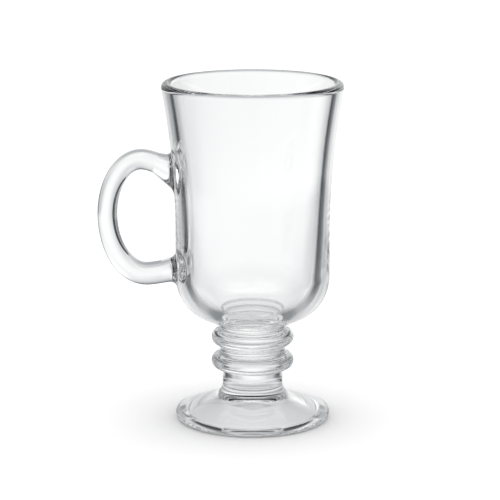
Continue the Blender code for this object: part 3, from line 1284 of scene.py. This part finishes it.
@dataclass
class Floor:
    """The pale floor, which keeps the shadow. Past the foot, glass looks through it at the surround.

    Its ramps have stops at distances from the axis: a lift of the paper to white for the eye, held at
    nothing round the foot so that the floor is painted darker there (painted shade), and the glow that
    glass sees round the foot, all round and behind it, which is painted light and shadow: a painted pool of
    light under the foot, a painted shadow ring round it and painted rings of light and shade behind it.
    """

    size: float = 8.0
    gap: float = 0.00006
    albedo: float = 0.98
    ramp_reach: float = 0.1
    # Painted shade: the white lift is nothing round the foot and grows outwards, so the floor is painted
    # darker near the foot.
    lift_with_painted_shade: Sequence[Point2] = ((0.0, 0.0), (0.034, 0.0), (0.045, 0.06), (0.060, 0.10), (0.1, 0.13))
    # Painted light and shadow that glass sees on the floor: a painted pool of light under the foot and a
    # dark painted shadow ring round it.
    glow: Sequence[Point2] = ((0.0, 0.75), (0.0325, 0.75), (0.0335, 0.25), (0.1, 0.25))
    # Painted light and shadow behind the foot: painted shade under its back and painted rings of light
    # round it.
    painted_light_behind: Sequence[Point2] = (
        (0.0, 0.64), (0.018, 0.50), (0.026, 0.80), (0.030, 0.80), (0.034, 0.65), (0.040, 0.86), (0.1, 0.88),
    )
    behind_turn: Point2 = (0.72, 0.95)
    glow_fade: Point2 = (0.045, 0.065)

    def material(self) -> bpy.types.Material:
        """Make the floor's material.

        Returns:
            White paper to the eye, painted darker round the foot where its lift is held back, and for glass
            a painted glow of light and shadow round the foot that fades out to clear.
        """
        made, bench = stage_material("pale_floor")
        path = bench.node("ShaderNodeLightPath", {}).outputs
        place = bench.node("ShaderNodeTexCoord", {}).outputs["Object"]
        away = bench.node("ShaderNodeVectorMath", {0: place}, operation="LENGTH").outputs["Value"]
        share = bench.maths("DIVIDE", away, self.ramp_reach)
        # The lift carries the painted shade round the foot; near and far carry the painted light and shadow
        # that glass sees round and behind the foot.
        lift_with_painted_shade, near, far = (
            bench.ramp(share, [(distance / self.ramp_reach, level) for distance, level in stops])
            for stops in (self.lift_with_painted_shade, self.glow, self.painted_light_behind)
        )
        # For the eye: the white lift, held back round the foot as painted shade.
        lifted_with_painted_shade = bench.glow(lift_with_painted_shade, path["Is Camera Ray"])
        paper = bench.node("ShaderNodeAddShader", {0: bench.matt(self.albedo), 1: lifted_with_painted_shade}).outputs["Shader"]
        back = bench.node("ShaderNodeSeparateXYZ", {"Vector": place}).outputs["Y"]
        behind = bench.smooth_step(bench.maths("DIVIDE", back, away), self.behind_turn)
        level = bench.maths("MULTIPLY_ADD", behind, bench.maths("SUBTRACT", far, near), near)
        fade = bench.smooth_step(away, self.glow_fade)
        # Glass rays see the floor's painted light and shadow round the foot, which fades to clear further
        # out.
        seen = bench.mix(fade, bench.glow(bench.cool(level)), bench.see_through())
        by_glass = bench.maths("MAXIMUM", path["Is Glossy Ray"], path["Is Transmission Ray"])
        bench.node("ShaderNodeOutputMaterial", {"Surface": bench.mix(by_glass, paper, seen)})
        return made

    def build(self) -> None:
        """Lay the floor just under the foot."""
        half, level = self.size / 2.0, -self.gap
        corners = [(-half, -half, level), (half, -half, level), (half, half, level), (-half, half, level)]
        stage_piece(flat_mesh("floor", corners), self.material())


@dataclass
class Light:
    """The light on the floor: an even sky, which is white to the eye, and a soft lamp overhead."""

    sky_level: float = 0.97
    lamp_power: float = 2.0
    lamp_sizes: Point2 = (1.5, 1.3)
    lamp_place: tuple[float, float, float] = (0.0, 0.20, 1.30)

    def sky(self) -> None:
        """Make the sky."""
        made = bpy.data.worlds.new("studio")
        bpy.context.scene.world = made
        made.use_nodes = True
        bench = NodeBench(made.node_tree)
        even, white = (
            bench.node("ShaderNodeBackground", {"Color": WHITE, "Strength": level}).outputs["Background"]
            for level in (self.sky_level, 1.0)
        )
        by_eye = bench.node("ShaderNodeLightPath", {}).outputs["Is Camera Ray"]
        bench.node("ShaderNodeOutputWorld", {"Surface": bench.mix(by_eye, even, white)})

    def lamp(self) -> None:
        """Hang the lamp over the mug, a little behind it."""
        data = bpy.data.lights.new("overhead_softbox", "AREA")
        data.shape = "RECTANGLE"
        data.size, data.size_y = self.lamp_sizes
        data.energy = self.lamp_power
        made = bpy.data.objects.new("overhead_softbox", data)
        made.location = self.lamp_place
        bpy.context.scene.collection.objects.link(made)

    def build(self) -> None:
        """Set up the sky and the lamp."""
        self.sky()
        self.lamp()


@dataclass
class Surround:
    """The lit room that glass shows: a bright spot behind the mug, and pale and dark parts round about.

    Its ramps have stops in degrees, each with a light level: away from the spot's middle, round from
    straight behind the mug to its right, or up from level. A turn and a height ramp are multiplied, for
    the lower part, the upper part and the sides and back, and all the light is added up.
    """

    radius: float = 3.0
    segments: tuple[int, int] = (96, 64)
    spot_height: float = -12.0
    spot: Sequence[Point2] = ((180.0, 0.0), (22.0, 0.0), (16.0, 0.15), (5.0, 0.455), (0.0, 0.455))
    steep: Sequence[Point2] = ((-90.0, 0.42), (-36.0, 0.42), (-27.0, 0.10), (-22.0, 0.0), (90.0, 0.0))
    lower_turn: Sequence[Point2] = (
        (-180.0, 0.50), (-160.0, 0.60), (-105.0, 0.50), (-92.0, 0.75), (-75.0, 1.25), (-61.0, 0.60),
        (-52.0, 0.08), (-41.0, 0.08), (-32.0, 0.58), (-28.0, 0.72), (-16.0, 0.82), (-10.0, 0.71),
        (0.0, 0.68), (30.0, 0.73), (36.0, 0.24), (44.0, 0.06), (53.0, 0.02), (62.0, 0.60),
        (76.0, 1.40), (90.0, 1.20), (105.0, 0.55), (180.0, 0.50),
    )
    lower_height: Sequence[Point2] = (
        (-90.0, 0.05), (-50.0, 0.08), (-36.0, 0.24), (-27.0, 0.93), (-24.0, 1.0), (-18.0, 0.83),
        (-12.0, 0.82), (-10.0, 0.0), (90.0, 0.0),
    )
    upper_turn: Sequence[Point2] = (
        (-180.0, 0.12), (-160.0, 0.22), (-120.0, 0.22), (-105.0, 0.35), (-82.0, 0.12), (-74.0, 0.16),
        (-64.0, 0.38), (-50.0, 0.25), (-37.0, 0.50), (-28.0, 0.48), (-16.0, 0.65), (-11.0, 0.58),
        (8.0, 0.70), (16.0, 0.92), (28.0, 0.95), (37.0, 0.60), (48.0, 0.20), (58.0, 0.28),
        (67.0, 0.05), (76.0, 0.05), (92.0, 0.28), (105.0, 0.12), (120.0, 0.20), (180.0, 0.10),
    )
    upper_height: Sequence[Point2] = (
        (-90.0, 0.0), (-12.0, 0.0), (-10.0, 0.92), (-6.0, 0.91), (2.0, 1.08), (7.0, 1.30), (14.0, 1.25),
        (24.0, 0.78), (33.0, 0.02), (49.0, 0.02), (54.0, 0.4), (58.0, 1.6), (64.0, 2.4), (90.0, 2.4),
    )
    around_turn: Sequence[Point2] = (
        (-180.0, 1.0), (-84.0, 1.0), (-60.0, 0.0), (60.0, 0.0), (84.0, 1.0), (180.0, 1.0),
    )
    around_height: Sequence[Point2] = (
        (-90.0, 0.10), (-40.0, 0.10), (-28.0, 0.30), (-14.0, 0.40), (-9.0, 0.60), (-3.0, 0.60),
        (6.0, 0.20), (33.0, 0.0), (90.0, 0.0),
    )

    @staticmethod
    def away_stops(stops: Sequence[Point2]) -> list[Point2]:
        """Ramp stops by the cosine of each angle away, brought to 0 to 1."""
        return [(0.5 + 0.5 * math.cos(math.radians(angle)), level) for angle, level in stops]

    @staticmethod
    def turn_stops(stops: Sequence[Point2]) -> list[Point2]:
        """Ramp stops by the share of a full turn, brought to 0 to 1."""
        return [(0.5 + angle / 360.0, level) for angle, level in stops]

    @staticmethod
    def height_stops(stops: Sequence[Point2]) -> list[Point2]:
        """Ramp stops by the sine of each angle up, brought to 0 to 1."""
        return [(0.5 + 0.5 * math.sin(math.radians(angle)), level) for angle, level in stops]

    def material(self) -> bpy.types.Material:
        """Make the surround's material.

        Returns:
            A glow that differs by direction.
        """
        made, bench = stage_material("surround")
        place = bench.node("ShaderNodeTexCoord", {}).outputs["Object"]
        unit = bench.node("ShaderNodeVectorMath", {0: place}, operation="NORMALIZE").outputs["Vector"]
        part = bench.node("ShaderNodeSeparateXYZ", {"Vector": unit}).outputs
        tilt = math.radians(self.spot_height)
        middle = (0.0, math.cos(tilt), math.sin(tilt))
        aim = bench.node("ShaderNodeVectorMath", {0: unit, 1: middle}, operation="DOT_PRODUCT")
        near = bench.maths("MULTIPLY_ADD", aim.outputs["Value"], 0.5, 0.5)
        rise = bench.maths("MULTIPLY_ADD", part["Z"], 0.5, 0.5)
        angle = bench.maths("ARCTAN2", part["X"], part["Y"])
        turn = bench.maths("MULTIPLY_ADD", angle, 0.5 / math.pi, 0.5)
        spot = bench.ramp(near, self.away_stops(self.spot))
        light = bench.maths("ADD", spot, bench.ramp(rise, self.height_stops(self.steep)))
        for turns, heights in (
            (self.lower_turn, self.lower_height),
            (self.upper_turn, self.upper_height),
            (self.around_turn, self.around_height),
        ):
            by_turn = bench.ramp(turn, self.turn_stops(turns))
            by_height = bench.ramp(rise, self.height_stops(heights))
            light = bench.maths("MULTIPLY_ADD", by_turn, by_height, light)
        bench.node("ShaderNodeOutputMaterial", {"Surface": bench.glow(bench.cool(light))})
        return made

    def build(self) -> None:
        """Hang the surround."""
        columns, rows = self.segments
        ball = bmesh.new()
        bmesh.ops.create_uvsphere(ball, u_segments=columns, v_segments=rows, radius=self.radius)
        mesh = bpy.data.meshes.new("surround")
        ball.to_mesh(mesh)
        ball.free()
        stage_piece(mesh, self.material(), glass_only=True)


@dataclass
class Flag:
    """A narrow black card behind the handle, for the dark line down the handle's inner edge.

    Rays that have passed more than two glass faces go through it, so the bowl doesn't show it.
    """

    back: float = 0.040
    sides: Point2 = (-0.0820, -0.0745)
    heights: Point2 = (0.042, 0.113)
    level: float = 0.03
    faces_passed: float = 2.5

    def build(self) -> None:
        """Stand the flag."""
        material, bench = stage_material("black_flag")
        passed = bench.node("ShaderNodeLightPath", {}).outputs["Transmission Depth"]
        deep = bench.maths("GREATER_THAN", passed, self.faces_passed)
        card = bench.mix(deep, bench.matt(self.level), bench.see_through())
        bench.node("ShaderNodeOutputMaterial", {"Surface": card})
        (left, right), (low, high), back = self.sides, self.heights, self.back
        corners = [(left, back, low), (right, back, low), (right, back, high), (left, back, high)]
        stage_piece(flat_mesh("black_flag", corners), material, glass_only=True)


@dataclass
class Studio:
    """The whole stage, which stands still round the mug, and how often light may bounce in the glass."""

    bounces: int = 40
    clear_bounces: int = 128

    def build(self) -> None:
        """Set up the stage."""
        scene = bpy.context.scene
        scene.view_settings.view_transform = "Standard"
        scene.cycles.max_bounces = self.bounces
        scene.cycles.transmission_bounces = self.bounces
        scene.cycles.glossy_bounces = self.bounces
        scene.cycles.transparent_max_bounces = self.clear_bounces
        for item in (View(), Floor(), Light(), Surround(), Flag()):
            item.build()


def dress(piece: bpy.types.Object, node: str, ripple: bpy.types.NodeTree, seam: bpy.types.Material) -> None:
    """Give a piece its finish and say which CAD node it stands for.

    Args:
        piece: The piece.
        node: Name of the CAD node.
        ripple: The node group of mould ripples.
        seam: The material of fused seams.
    """
    piece.data.materials.append(FINISHES[node].material(ripple))
    piece.data.materials.append(seam)
    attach(piece, BODY)
    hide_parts(node)
    LOG.info("%s: %d faces, stands for %s", piece.name, len(piece.data.polygons), node)


def main() -> None:
    """Build the stage and the mug from the foot up."""
    logging.basicConfig(level=logging.INFO, format="%(name)s %(message)s")
    Studio().build()
    foot, stem, wall = Foot(), Stem(), Wall()
    bowl, handle = Bowl(wall), Handle(wall)
    neck = stem.neck(wall.corner, wall.corner_radius)
    sections, roots = handle.sections()
    rows = bowl.wall_rows()
    patch = bowl.net(rows, roots)
    pieces = {
        "foot": foot.build(),
        "stem": stem.build(neck),
        "bowl": bowl.build(rows, patch, neck),
        "handle": handle.build(sections, patch),
    }
    ripple = MouldMarks().group()
    seam = SeamFinish.material()
    for node, piece in pieces.items():
        dress(piece, node, ripple, seam)


if __name__ == "__main__":
    main()
